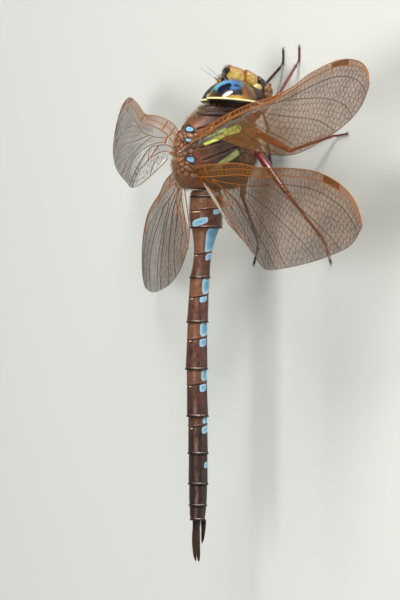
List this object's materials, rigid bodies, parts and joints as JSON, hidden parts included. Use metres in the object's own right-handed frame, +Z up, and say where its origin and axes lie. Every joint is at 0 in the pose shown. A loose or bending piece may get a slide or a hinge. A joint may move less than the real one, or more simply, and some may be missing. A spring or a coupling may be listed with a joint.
{
  "type": "brown hawker dragonfly",
  "caption": "Life-size still model of a brown hawker dragonfly standing on its feet with its amber wings spread.",
  "frame": {"origin": "on the floor, under the middle of the box round the model", "axes": "+Z up, head towards -Y and tail towards +Y, the animal's left towards +X"},
  "size_m": [0.0988, 0.0772, 0.0252],
  "materials": {
    "chitin": "glossy brown shell with blue and yellow marks",
    "thorax": "brown shell under fine pale hair, with yellow bands",
    "eye": "high gloss, blue above and brown below",
    "face": "glossy golden brown",
    "mouthparts": "satin brown",
    "wing": "clear amber film with brown veins",
    "leg": "glossy dark red brown",
    "feeler": "dull black brown"
  },
  "bodies": {
    "root": {"abdomen_01": "chitin", "abdomen_02": "chitin", "abdomen_03": "chitin", "abdomen_04": "chitin", "abdomen_05": "chitin", "abdomen_06": "chitin", "abdomen_07": "chitin", "abdomen_08": "chitin", "abdomen_09": "chitin", "abdomen_10": "chitin", "antenna_left": "feeler", "antenna_right": "feeler", "clasper_left": "chitin", "clasper_lower": "chitin", "clasper_right": "chitin", "clypeus": "face", "crown": "face", "eye_left": "eye", "eye_right": "eye", "frons": "face", "head": "mouthparts", "labium": "mouthparts", "labrum": "face", "leg_fore_left_femur": "leg", "leg_fore_left_tarsus": "leg", "leg_fore_left_tibia": "leg", "leg_fore_right_femur": "leg", "leg_fore_right_tarsus": "leg", "leg_fore_right_tibia": "leg", "leg_hind_left_femur": "leg", "leg_hind_left_tarsus": "leg", "leg_hind_left_tibia": "leg", "leg_hind_right_femur": "leg", "leg_hind_right_tarsus": "leg", "leg_hind_right_tibia": "leg", "leg_mid_left_femur": "leg", "leg_mid_left_tarsus": "leg", "leg_mid_left_tibia": "leg", "leg_mid_right_femur": "leg", "leg_mid_right_tarsus": "leg", "leg_mid_right_tibia": "leg", "neck": "thorax", "thorax": "thorax", "wing_fore_left": "wing", "wing_fore_right": "wing", "wing_hind_left": "wing", "wing_hind_right": "wing"}
  },
  "joints": []
}
